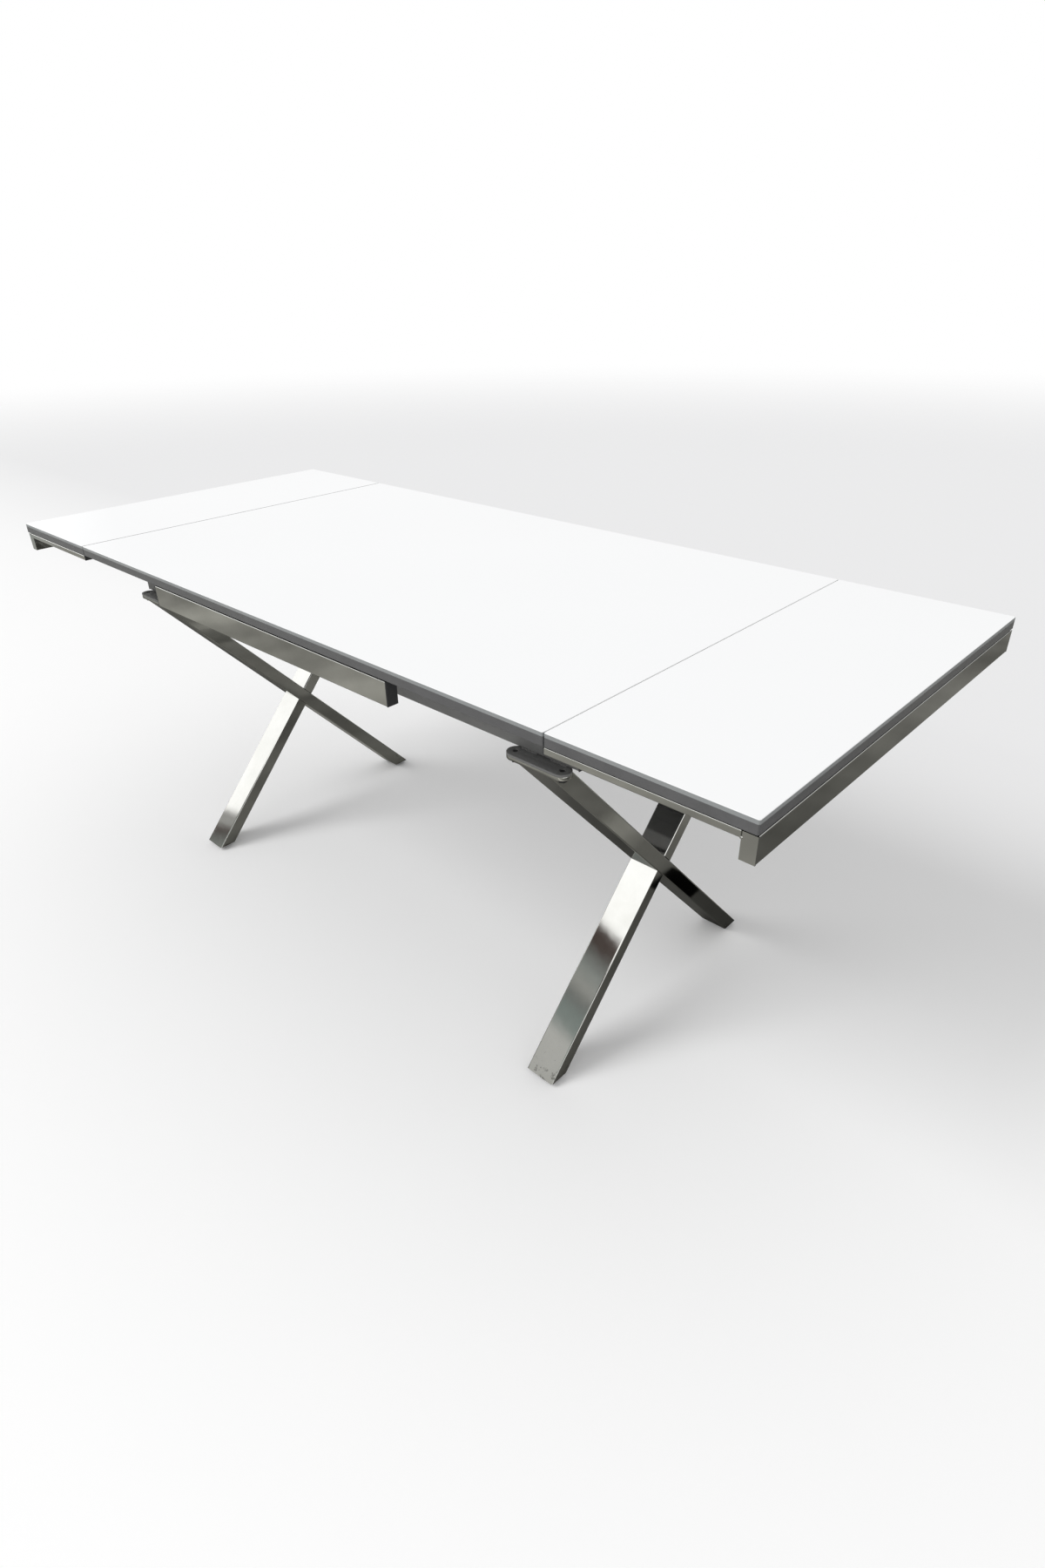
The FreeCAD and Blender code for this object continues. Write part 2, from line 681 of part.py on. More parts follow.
# Seam plates and pins, fixed to the centre board
def make_seam_plates():
    bridge = plate("seam_plate", "seam_plate_length", "seam_plate_width", "seam_plate_thickness")
    rounded(bridge, outer_edges_along(bridge, Z_AXIS), "seam_plate_radius")
    bind(bridge, x="centre_half", y="seam_plate_y", z="seam_plate_z")
    holes = []
    screws = []
    for place, x in (("outer", "seam_screw_x"), ("inner", "seam_screw_x - seam_screw_pitch")):
        sink = cylinder(f"seam_sink_{place}", "seam_screw_head + 2 * screw_clearance", "2 * overrun",
                        x=x, y="seam_plate_y", z="seam_plate_z - overrun")
        holes.append(sink)
        screws += four_corners(seam_screw(f"seam_screw_{place}", x))
    drilled = boolean("Part::Cut", "seam_plate_drilled", bridge, gathered("seam_holes", holes))
    node("seam_plates", gathered("seam_plate_group", four_corners(drilled)))
    node("seam_screws", gathered("seam_screw_group", screws))
    shank = cylinder("pin_shank", "pin_diameter", "pin_height - pin_lead",
                     x="pin_x", y="seam_plate_y", z="board_bottom")
    tip = doc.addObject("Part::Cone", "pin_tip")
    bind(tip, Radius1="pin_diameter / 2", Radius2="pin_diameter / 2 - pin_lead", Height="pin_lead",
         x="pin_x", y="seam_plate_y", z="board_bottom + pin_height - pin_lead")
    node("seam_pins", gathered("pin_group", four_corners(boolean("Part::Fuse", "seam_pin", shank, tip))))


def seam_screw(name, x):
    """A screw whose flat head lies in the seam plate's thickness."""
    head = cylinder(name + "_head", "seam_screw_head", "seam_plate_thickness",
                    x=x, y="seam_plate_y", z="seam_plate_z")
    shank = cylinder(name + "_shank", "seam_screw_diameter", "seam_plate_thickness + screw_bite",
                     x=x, y="seam_plate_y", z="seam_plate_z")
    return boolean("Part::Fuse", name, head, shank)


# Pull-outs
def make_pullouts():
    beam_section = ("beam_depth", "beam_height")
    beam = walled_tube("beam_tube", Y_AXIS, "2 * beam_half", beam_section, "beam_wall", "beam_edge_radius")
    right_and_left("end_beam", bind(beam, x="beam_x", z="beam_z"))
    beam_cap = end_cap("beam_cap", Y_AXIS, beam_section, "beam_wall", back=True)
    bind(beam_cap, x="beam_x", y="beam_half", z="beam_z")
    right_and_left("beam_end_caps", gathered("beam_caps", both_sides(beam_cap)))
    arm_section = ("arm_depth", "arm_height")
    arm = walled_tube("arm_tube", X_AXIS, "beam_inner - arm_start", arm_section, "arm_wall",
                      "arm_edge_radius", side="One side")
    bind(arm, x="arm_start", y="arm_y", z="arm_z")
    right_and_left("arm_far", arm)
    right_and_left("arm_near", mirrored(arm, ACROSS))
    arm_cap = end_cap("arm_cap", X_AXIS, arm_section, "arm_wall", back=True)
    bind(arm_cap, x="arm_start", y="arm_y", z="arm_z")
    right_and_left("arm_end_caps", gathered("arm_caps", both_sides(arm_cap)))
    runner_section = ("runner_size", "runner_size")
    runner = walled_tube("runner_tube", X_AXIS, "beam_inner - runner_start", runner_section, "runner_wall",
                         "runner_edge_radius", side="One side")
    bind(runner, x="runner_start", y="rail_y", z="guide_z")
    right_and_left("runner_far", runner)
    right_and_left("runner_near", mirrored(runner, ACROSS))
    right_and_left("runner_sleeves", gathered("runner_sleeve_group", runner_sleeves(runner_section)))
    right_and_left("leaf_pads", gathered("leaf_pad_group", leaf_pads()))


def runner_sleeves(runner_section):
    """Nylon sleeves at a runner's inner end and where it stops against the bush."""
    sleeves = []
    outer = tuple(inside(size, "slide_clearance") for size in ("cavity_width", "cavity_height"))
    for place, x in (("end", "runner_start"), ("stop", "stop_end - sleeve_length")):
        sleeve = tube(f"sleeve_{place}", X_AXIS, "sleeve_length", outer, runner_section, side="One side")
        sleeves += both_sides(bind(sleeve, x=x, y="rail_y", z="guide_z"))
    return sleeves


def leaf_pads():
    """Rubber discs on the beam and thinner ones on the arms, level at the top, that carry a leaf."""
    def pad_disc(place, x, y, seat):
        return cylinder(f"pad_{place}", "pad_diameter", f"tube_top + pad_thickness - {seat}",
                        x=x, y=y, z=seat)
    pads = [pad_disc("beam_middle", "beam_x", "0", "tube_top")]
    pads += both_sides(pad_disc("beam_end", "beam_x", "half_width - pad_end_inset", "tube_top"))
    pads += both_sides(pad_disc("arm_inner", "arm_start + pad_diameter", "arm_y", "arm_top"))
    pads += both_sides(pad_disc("arm_outer", "leaf_middle", "arm_y", "arm_top"))
    return pads


# Leaves
def make_leaves():
    glass = panel("leaf_glass_sheet", "leaf_length", "glass_thickness", "glass_edge_radius",
                  ("glass_thickness",))
    right_and_left("leaf_glass", bind(glass, x="leaf_middle", z="board_top"))
    board = panel("leaf_board_sheet", "leaf_length", "leaf_board_thickness", "board_edge_radius", ("0",))
    bind(board, x="leaf_middle", z="leaf_bottom")
    seats = both_sides(cylinder("socket_seat", "socket_diameter", "overrun + socket_depth",
                                x="pin_x", y="seam_plate_y", z="leaf_bottom - overrun"))
    right_and_left("leaf_board", boolean("Part::Cut", "leaf_board_drilled", board, gathered("seats", seats)))
    barrel = cylinder("socket_barrel", "socket_outer", "socket_depth",
                      x="pin_x", y="seam_plate_y", z="leaf_bottom")
    bore = cylinder("socket_bore", "pin_diameter + 2 * pin_clearance",
                    "board_bottom + pin_height + pin_clearance - leaf_bottom + overrun",
                    x="pin_x", y="seam_plate_y", z="leaf_bottom - overrun")
    socket = boolean("Part::Cut", "leaf_socket", barrel, bore)
    right_and_left("leaf_sockets", gathered("socket_group", both_sides(socket)))


def check_document():
    """Stops if any object failed or any piece is empty or invalid."""
    for item in doc.Objects:
        if "Invalid" in item.State or "Error" in item.State:
            raise RuntimeError(f"{item.Label} failed: {item.State}")
    for item in nodes:
        shape = item.Shape
        if shape.isNull() or not shape.isValid() or not shape.Solids:
            raise RuntimeError(f"{item.Label} has no valid solid")
        if min(solid.Volume for solid in shape.Solids) <= 0:
            raise RuntimeError(f"{item.Label} has a solid that is inside out")


def write_pieces():
    os.makedirs("parts", exist_ok=True)
    for item in nodes:
        solids = item.Shape.Solids
        shape = solids[0] if len(solids) == 1 else Part.makeCompound(solids)
        shape.exportStep(f"parts/{item.Label}.step")
        print(f"{item.Label}: {len(solids)} solids, {shape.Volume:.1f} mm3")


make_centre_panel()
make_aprons()
make_underframe()
make_top_fixings()
make_legs()
make_feet()
make_bolt_plates()
make_seam_plates()
make_pullouts()
make_leaves()
doc.recompute()
check_document()
write_pieces()
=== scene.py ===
import json
import math
import bmesh
import bpy
from mathutils import Matrix, Vector


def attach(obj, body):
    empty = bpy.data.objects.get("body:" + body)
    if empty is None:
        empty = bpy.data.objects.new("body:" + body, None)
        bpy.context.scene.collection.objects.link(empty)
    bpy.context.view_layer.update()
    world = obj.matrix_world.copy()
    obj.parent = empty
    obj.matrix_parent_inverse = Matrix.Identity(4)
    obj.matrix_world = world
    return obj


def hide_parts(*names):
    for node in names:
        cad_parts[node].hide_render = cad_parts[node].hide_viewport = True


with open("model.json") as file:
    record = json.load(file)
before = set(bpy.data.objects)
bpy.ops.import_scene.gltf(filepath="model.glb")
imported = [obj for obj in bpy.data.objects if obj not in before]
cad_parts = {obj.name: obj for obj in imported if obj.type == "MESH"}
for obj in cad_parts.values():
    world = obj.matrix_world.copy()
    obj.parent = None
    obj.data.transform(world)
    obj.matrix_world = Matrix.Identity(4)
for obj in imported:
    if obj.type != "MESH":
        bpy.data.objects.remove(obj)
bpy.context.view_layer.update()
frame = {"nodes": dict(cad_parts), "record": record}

# Lengths are in metres; those written in millimetres are multiplied by this
MM = 0.001

# The photograph's camera: place in metres, angles in degrees, focal length in photograph pixels
CAMERA_PLACE = Vector((1.292, -1.1163, 1.2644))
CAMERA_YAW = -43.404
CAMERA_PITCH = 30.536
CAMERA_ROLL = -1.016
FOCAL_PIXELS = 1008.3
PHOTO_HEIGHT = 1800
SENSOR = 36.0
CLIP_START = 10 * MM


def make_camera():
    """A camera at the photograph's viewpoint, with no shift."""
    yaw, pitch, roll = (math.radians(angle) for angle in (CAMERA_YAW, CAMERA_PITCH, CAMERA_ROLL))
    ahead = Vector((math.sin(yaw) * math.cos(pitch), math.cos(yaw) * math.cos(pitch), -math.sin(pitch)))
    level = Vector((math.cos(yaw), -math.sin(yaw), 0.0))
    upright = level.cross(ahead)
    right = math.cos(roll) * level + math.sin(roll) * upright
    up = math.cos(roll) * upright - math.sin(roll) * level
    data = bpy.data.cameras.new("photo_camera")
    data.sensor_fit = "VERTICAL"
    data.sensor_height = SENSOR
    data.lens = FOCAL_PIXELS / PHOTO_HEIGHT * SENSOR
    data.clip_start = CLIP_START
    camera = bpy.data.objects.new("photo_camera", data)
    turn = Matrix((right, up, -ahead)).transposed().to_4x4()
    camera.matrix_world = Matrix.Translation(CAMERA_PLACE) @ turn
    bpy.context.scene.collection.objects.link(camera)
    bpy.context.scene.camera = camera


def rgba(colour):
    """A colour with full opacity."""
    return (*colour, 1.0)


# Shader node groups, each built once and placed in the materials that use it
def new_group(name, inputs, outputs):
    """An empty shader group with float inputs and typed outputs."""
    group = bpy.data.node_groups.new(name, "ShaderNodeTree")
    for label, default in inputs:
        socket = group.interface.new_socket(label, in_out="INPUT", socket_type="NodeSocketFloat")
        socket.default_value = default
    for label, kind in outputs:
        group.interface.new_socket(label, in_out="OUTPUT", socket_type=kind)
    start = group.nodes.new("NodeGroupInput")
    end = group.nodes.new("NodeGroupOutput")
    return group, start, end


def add(tree, kind, **settings):
    """A node with its settings; names that are no property set the input socket of that label."""
    node = tree.nodes.new(kind)
    for name, setting in settings.items():
        if hasattr(node, name):
            setattr(node, name, setting)
        else:
            node.inputs[name.replace("_", " ")].default_value = setting
    return node


def feed(tree, socket, value):
    """Sets a socket to a number or a colour, or links an output to it."""
    if isinstance(value, bpy.types.NodeSocket):
        tree.links.new(value, socket)
    else:
        socket.default_value = rgba(value) if isinstance(value, tuple) else value


def noise(tree, vector, scale, detail=4.0, roughness=0.55):
    """A noise value along a coordinate output; the scale is a number or an output."""
    node = add(tree, "ShaderNodeTexNoise", Detail=detail, Roughness=roughness)
    feed(tree, node.inputs["Scale"], scale)
    tree.links.new(vector, node.inputs["Vector"])
    return node.outputs["Fac"]


def spread(tree, value, low, high, from_low=0.3, from_high=0.7, shape="LINEAR"):
    """Maps a range of a value, by default a noise's usual one, to low and high."""
    node = add(tree, "ShaderNodeMapRange", interpolation_type=shape)
    limits = {"From Min": from_low, "From Max": from_high, "To Min": low, "To Max": high}
    for label, limit in limits.items():
        feed(tree, node.inputs[label], limit)
    tree.links.new(value, node.inputs["Value"])
    return node.outputs["Result"]


def inside(tree, value, low, high, blur):
    """A mask of 1 between two values and 0 outside them, with soft edges."""
    rise = spread(tree, value, 0.0, 1.0, low - blur, low + blur)
    fall = spread(tree, value, 1.0, 0.0, high - blur, high + blur)
    return math_node(tree, "MULTIPLY", rise, fall)


def patch(tree, axes, limits, blur):
    """A mask of 1 inside a rectangle on two axes and 0 outside it, with soft edges."""
    masks = [inside(tree, axis, *ends, blur) for axis, ends in zip(axes, limits)]
    return math_node(tree, "MULTIPLY", *masks)


def math_node(tree, operation, first, second):
    """The result of an operation on two numbers or outputs."""
    node = add(tree, "ShaderNodeMath", operation=operation)
    for socket, value in zip(node.inputs, (first, second)):
        feed(tree, socket, value)
    return node.outputs["Value"]


def object_axes(tree):
    """Object coordinates, whole and split into X, Y and Z."""
    coords = tree.nodes.new("ShaderNodeTexCoord").outputs["Object"]
    split = tree.nodes.new("ShaderNodeSeparateXYZ")
    tree.links.new(coords, split.inputs["Vector"])
    return coords, split.outputs["X"], split.outputs["Y"], split.outputs["Z"]


SMUDGE_PATCH_SHARE = 0.85
SMUDGE_FLECK_SCALE = 240.0


def smudge_group():
    """Handling marks: a roughness that drifts between two values in soft patches and fine flecks."""
    group, start, end = new_group("handling_smudges", (("Low", 0.1), ("High", 0.2), ("Scale", 9.0)),
                                  (("Roughness", "NodeSocketFloat"),))
    coords = group.nodes.new("ShaderNodeTexCoord").outputs["Object"]
    patches = noise(group, coords, start.outputs["Scale"], detail=5.0, roughness=0.6)
    flecks = noise(group, coords, SMUDGE_FLECK_SCALE, detail=2.0)
    mixed = math_node(group, "ADD", spread(group, patches, 0.0, SMUDGE_PATCH_SHARE),
                      spread(group, flecks, 0.0, 1.0 - SMUDGE_PATCH_SHARE))
    drift = spread(group, mixed, start.outputs["Low"], start.outputs["High"], 0.0, 1.0)
    group.links.new(drift, end.inputs["Roughness"])
    return group


def grain_group():
    """Fine even grain, as a height for a Bump node."""
    group, start, end = new_group("fine_grain", (("Scale", 900.0),), (("Height", "NodeSocketFloat"),))
    coords = group.nodes.new("ShaderNodeTexCoord").outputs["Object"]
    grain = noise(group, coords, start.outputs["Scale"], detail=3.0, roughness=0.6)
    group.links.new(grain, end.inputs["Height"])
    return group


def mottle_group():
    """Slow variation of a colour: a mask between 0 and 1."""
    group, start, end = new_group("slow_mottle", (("Scale", 14.0),), (("Mask", "NodeSocketFloat"),))
    coords = group.nodes.new("ShaderNodeTexCoord").outputs["Object"]
    patches = noise(group, coords, start.outputs["Scale"], detail=6.0, roughness=0.62)
    group.links.new(spread(group, patches, 0.0, 1.0), end.inputs["Mask"])
    return group


SCUFF_RISE = 0.2
SCUFF_STARTS = 0.68
SCUFF_FULL = 0.8
SCUFF_DENSITY = 0.8


def scuff_group():
    """Grime and scuffs that thin out with height above the floor: a mask from 0 to the full density."""
    group, start, end = new_group("floor_scuffs", (("Height", 0.1), ("Scale", 85.0)),
                                  (("Mask", "NodeSocketFloat"),))
    coords, _, _, height = object_axes(group)
    low = math_node(group, "SUBTRACT", 1.0, math_node(group, "DIVIDE", height, start.outputs["Height"]))
    marks = noise(group, coords, start.outputs["Scale"], detail=6.0, roughness=0.7)
    reach = math_node(group, "ADD", math_node(group, "MULTIPLY", low, SCUFF_RISE), marks)
    group.links.new(spread(group, reach, 0.0, SCUFF_DENSITY, SCUFF_STARTS, SCUFF_FULL), end.inputs["Mask"])
    return group


GROUPS = {}


def effect(tree, name, **values):
    """Places one of the shared groups in a material with its own values, and gives its output."""
    node = tree.nodes.new("ShaderNodeGroup")
    node.node_tree = GROUPS[name]
    for label, value in values.items():
        node.inputs[label].default_value = value
    return node.outputs[0]


def new_material(name, **constants):
    """A material with one Principled shader; constants go on the shader's own sockets."""
    material = bpy.data.materials.new(name)
    material.use_nodes = True
    shader = material.node_tree.nodes["Principled BSDF"]
    for label, value in constants.items():
        shader.inputs[label.replace("_", " ")].default_value = value
    return material, material.node_tree, shader


def mix_colours(tree, mask, first, second):
    """A colour between two tones or colour outputs by a mask."""
    mix = add(tree, "ShaderNodeMix", data_type="RGBA")
    tree.links.new(mask, mix.inputs["Factor"])
    sockets = [socket for socket in mix.inputs if socket.type == "RGBA"]
    for socket, colour in zip(sockets, (first, second)):
        feed(tree, socket, colour)
    return next(socket for socket in mix.outputs if socket.type == "RGBA")


def two_tone(tree, shader, mask, first, second):
    """Base colour between two tones by a mask."""
    tree.links.new(mix_colours(tree, mask, first, second), shader.inputs["Base Color"])


def bump(tree, shader, height, strength, distance):
    """Lets a height output tilt the shader's normal."""
    node = add(tree, "ShaderNodeBump", Strength=strength, Distance=distance)
    tree.links.new(height, node.inputs["Height"])
    tree.links.new(node.outputs["Normal"], shader.inputs["Normal"])


CHROME_TONES = ((0.47, 0.47, 0.45), (0.53, 0.53, 0.515))
CHROME_GRIME = (0.10, 0.092, 0.08)
CHROME_GRIME_DULLING = 0.35
CHROME_GRIME_HEIGHT = 60 * MM


def chrome_material():
    """Plated tube: slightly wavy, smudged by hands, with grime near the floor."""
    material, tree, shader = new_material("bright_chrome", Metallic=1.0)
    plated = mix_colours(tree, effect(tree, "slow_mottle", Scale=11.0), *CHROME_TONES)
    scuffs = effect(tree, "floor_scuffs", Height=CHROME_GRIME_HEIGHT, Scale=85.0)
    two_tone(tree, shader, scuffs, plated, CHROME_GRIME)
    smudges = effect(tree, "handling_smudges", Low=0.03, High=0.075, Scale=7.0)
    dulled = math_node(tree, "MULTIPLY", scuffs, CHROME_GRIME_DULLING)
    tree.links.new(math_node(tree, "ADD", smudges, dulled), shader.inputs["Roughness"])
    bump(tree, shader, effect(tree, "fine_grain", Scale=9.0), strength=0.12, distance=1.2 * MM)
    return material


GLASS_FACE = (0.90, 0.905, 0.91)
GLASS_EDGE = (0.26, 0.27, 0.272)
# Height of an upward normal at which the edge tone starts to turn into the face tone, and has done so
GLASS_TURN = (0.3, 0.9)
# The right seam's facing edges, coloured lighter as a painted highlight for the light they catch from the
# face, and a thin painted shade line at the left seam that stands for the shadow in its gap
SEAM_EDGES = (649.5 * MM, 651.5 * MM)
SEAM_REACH = (-394 * MM, 394 * MM)
SEAM_EDGE_PAINTED_LIGHT = (0.7, 0.7, 0.7)
SEAM_PAINTED_SHADE = (-651.7 * MM, -650.9 * MM)
SEAM_PAINTED_SHADE_TONE = (0.12, 0.12, 0.12)
SEAM_BLUR = 0.1 * MM


def glass_material():
    """White painted glass: white through the polished face, grey-green along the cut edge, with a painted
    highlight on the right seam's edges and a painted shade line at the left seam.
    """
    material, tree, shader = new_material("white_glass", IOR=1.52)
    _, x, y, _ = object_axes(tree)
    # Painted highlight: the right seam's facing edges get a pale tone for the light they catch from the
    # face
    facing = patch(tree, (x, y), (SEAM_EDGES, SEAM_REACH), SEAM_BLUR)
    edge = mix_colours(tree, facing, GLASS_EDGE, SEAM_EDGE_PAINTED_LIGHT)
    # Painted shade: a dark line on the face at the left seam stands for the shadow in the seam's gap
    top = mix_colours(tree, inside(tree, x, *SEAM_PAINTED_SHADE, SEAM_BLUR), GLASS_FACE, SEAM_PAINTED_SHADE_TONE)
    normal = tree.nodes.new("ShaderNodeSeparateXYZ")
    tree.links.new(tree.nodes.new("ShaderNodeTexCoord").outputs["Normal"], normal.inputs["Vector"])
    face = spread(tree, normal.outputs["Z"], 0.0, 1.0, *GLASS_TURN, shape="SMOOTHSTEP")
    two_tone(tree, shader, face, edge, top)
    smudges = effect(tree, "handling_smudges", Low=0.03, High=0.09, Scale=5.0)
    tree.links.new(smudges, shader.inputs["Roughness"])
    return material


def coated_material(name, tones, roughness, grain, mottle_scale=22.0, smudge_scale=15.0,
                    grain_depth=0.5 * MM, **constants):
    """A painted, moulded or plated finish; the grain is given by its scale and strength."""
    material, tree, shader = new_material(name, **constants)
    two_tone(tree, shader, effect(tree, "slow_mottle", Scale=mottle_scale), *tones)
    low, high = roughness
    smudges = effect(tree, "handling_smudges", Low=low, High=high, Scale=smudge_scale)
    tree.links.new(smudges, shader.inputs["Roughness"])
    grain_scale, strength = grain
    bump(tree, shader, effect(tree, "fine_grain", Scale=grain_scale), strength, grain_depth)
    return material


def make_materials():
    """One material for each slot of the record."""
    GROUPS["handling_smudges"] = smudge_group()
    GROUPS["fine_grain"] = grain_group()
    GROUPS["slow_mottle"] = mottle_group()
    GROUPS["floor_scuffs"] = scuff_group()
    return {
        "chrome": chrome_material(),
        "white_glass": glass_material(),
        "grey_board": coated_material(
            "grey_board", tones=((0.088, 0.088, 0.09), (0.105, 0.105, 0.108)), roughness=(0.28, 0.40),
            grain=(700.0, 0.12), mottle_scale=30.0, smudge_scale=12.0, grain_depth=0.4 * MM, IOR=1.5),
        "frame_grey": coated_material(
            "frame_powder_coat", tones=((0.15, 0.15, 0.148), (0.18, 0.18, 0.177)), roughness=(0.36, 0.5),
            grain=(1400.0, 0.2)),
        "bare_steel": coated_material(
            "zinc_plate", tones=((0.42, 0.42, 0.41), (0.60, 0.60, 0.58)), roughness=(0.22, 0.4),
            grain=(500.0, 0.08), Metallic=1.0),
        "black_plastic": coated_material(
            "moulded_black", tones=((0.026, 0.027, 0.029), (0.036, 0.037, 0.039)), roughness=(0.38, 0.55),
            grain=(1200.0, 0.25)),
        "nylon": coated_material(
            "dark_nylon", tones=((0.032, 0.033, 0.035), (0.042, 0.043, 0.045)), roughness=(0.4, 0.5),
            grain=(800.0, 0.1)),
        "rubber": coated_material(
            "black_rubber", tones=((0.02, 0.02, 0.02), (0.03, 0.03, 0.03)), roughness=(0.6, 0.75),
            grain=(900.0, 0.3)),
        "black_bolt": coated_material(
            "blackened_steel", tones=((0.025, 0.025, 0.027), (0.05, 0.05, 0.052)), roughness=(0.3, 0.45),
            grain=(700.0, 0.12), Metallic=0.6),
        "brass": coated_material(
            "turned_brass", tones=((0.60, 0.42, 0.16), (0.68, 0.50, 0.22)), roughness=(0.22, 0.34),
            grain=(600.0, 0.08), Metallic=1.0),
    }


def dress_cad_nodes(materials):
    """Gives each carried-over node the finish of its record slot."""
    slots = {part["node"]: part["material_slot"] for part in frame["record"]["subparts"]}
    for name, node in frame["nodes"].items():
        node.data.materials.clear()
        node.data.materials.append(materials[slots[name]])


# Pieces modelled here
SMOOTH_ANGLE = math.radians(35)
TURN_OVER = Matrix.Rotation(math.pi, 4, "X")


def linked_object(name, mesh, material):
    """An object of a finished mesh and its material, in the scene."""
    mesh.materials.append(material)
    item = bpy.data.objects.new(name, mesh)
    bpy.context.scene.collection.objects.link(item)
    return item


def new_piece(name, shape, material, body):
    """Turns a finished bmesh into a piece that rides on a body."""
    bmesh.ops.recalc_face_normals(shape, faces=shape.faces)
    mesh = bpy.data.meshes.new(name)
    shape.to_mesh(mesh)
    shape.free()
    mesh.shade_smooth()
    mesh.set_sharp_from_angle(angle=SMOOTH_ANGLE)
    piece = linked_object(name, mesh, material)
    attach(piece, body)
    return piece


def stamp(shape, master, matrix):
    """Adds a placed copy of a finished bmesh to another one."""
    copy = bpy.data.meshes.new("stamp")
    master.to_mesh(copy)
    copy.transform(matrix)
    shape.from_mesh(copy)
    bpy.data.meshes.remove(copy)


def stamped_piece(name, node, master, places, slot, materials):
    """A piece on the fixed frame, made of placed copies of a master, that stands for a CAD node."""
    shape = bmesh.new()
    for place in places:
        stamp(shape, master, place)
    master.free()
    piece = new_piece(name, shape, materials[slot], "root")
    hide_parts(node)


def corner_signs():
    """Signs along X and across Y of the table's four corners."""
    return [(along, across) for along in (1, -1) for across in (1, -1)]


# Flanged bolts that hold the legs to the frame
BOLT_FLATS = 13 * MM
BOLT_FLANGE_RADIUS = 8.6 * MM
BOLT_FLANGE_RIM = 0.6 * MM
BOLT_FLANGE_CONE = 1.5 * MM
BOLT_HEX_HEIGHT = 6.6 * MM
BOLT_HEIGHT = 8 * MM
BOLT_CHAMFER = 0.7 * MM
BOLT_CROWN_RADIUS = 4.6 * MM
BOLT_CROWN_RISE = 0.4 * MM
BOLT_SHANK_RADIUS = 4 * MM
BOLT_SHANK = 8.2 * MM
BOLT_TIP = 0.8 * MM
BOLT_TIP_RADIUS = 3.1 * MM


def turned_step(shape, low_radius, high_radius, low, high, segments=32):
    """Adds a straight or coned step of a turned piece between two heights."""
    middle = Matrix.Translation((0.0, 0.0, (low + high) / 2))
    bmesh.ops.create_cone(shape, cap_ends=True, segments=segments, radius1=low_radius,
                          radius2=high_radius, depth=high - low, matrix=middle)


def bolt_master():
    """One bolt, head down, with its flange's upper face at the origin."""
    shape = bmesh.new()
    corner = BOLT_FLATS / math.sqrt(3)
    foot = -BOLT_HEX_HEIGHT - BOLT_FLANGE_RIM
    turned_step(shape, corner, corner, foot, -BOLT_FLANGE_RIM, segments=6)
    rim = [edge for edge in shape.edges
           if all(abs(vert.co.z - foot) < BOLT_CHAMFER for vert in edge.verts)]
    bmesh.ops.bevel(shape, geom=rim, offset=BOLT_CHAMFER, affect="EDGES", segments=2, profile=0.5,
                    material=-1)
    turned_step(shape, corner, BOLT_FLANGE_RADIUS, -BOLT_FLANGE_RIM - BOLT_FLANGE_CONE, -BOLT_FLANGE_RIM)
    turned_step(shape, BOLT_FLANGE_RADIUS, BOLT_FLANGE_RADIUS, -BOLT_FLANGE_RIM, 0.0)
    turned_step(shape, BOLT_CROWN_RADIUS - BOLT_CROWN_RISE, BOLT_CROWN_RADIUS, -BOLT_HEIGHT, foot)
    turned_step(shape, BOLT_SHANK_RADIUS, BOLT_SHANK_RADIUS, 0.0, BOLT_SHANK)
    turned_step(shape, BOLT_SHANK_RADIUS, BOLT_TIP_RADIUS, BOLT_SHANK, BOLT_SHANK + BOLT_TIP)
    return shape


# Places of the trestles and their bolts
LEG_X = 556 * MM
BOLT_SPACING = 90 * MM
BOLT_Y = 304 * MM
LEG_TOP = 647 * MM


def make_bolts(materials):
    """Two bolts at each corner."""
    places = []
    for along, across in corner_signs():
        for side in (1, -1):
            x = along * LEG_X + side * BOLT_SPACING / 2
            places.append(Matrix.Translation((x, across * BOLT_Y, LEG_TOP)))
    stamped_piece("flanged_bolts", "flange_bolts", bolt_master(), places, "black_bolt", materials)


# Bolt plates: a round-ended bar with two holes and a tongue under the rail
PLATE_HALF = 58.5 * MM
PLATE_END_RADIUS = 15.5 * MM
PLATE_Y = 303.5 * MM
PLATE_HOLE_RADIUS = 4.25 * MM
PLATE_EDGE = 0.6 * MM
TONGUE_HALF = 30 * MM
TONGUE_TIP_Y = 262 * MM
LUG_THICKNESS = 4 * MM
FLANGE_THICKNESS = 6 * MM
SHARP_ANGLE = math.radians(60)
PLATE_END_SEGMENTS = 64
PLATE_HOLE_SEGMENTS = 32


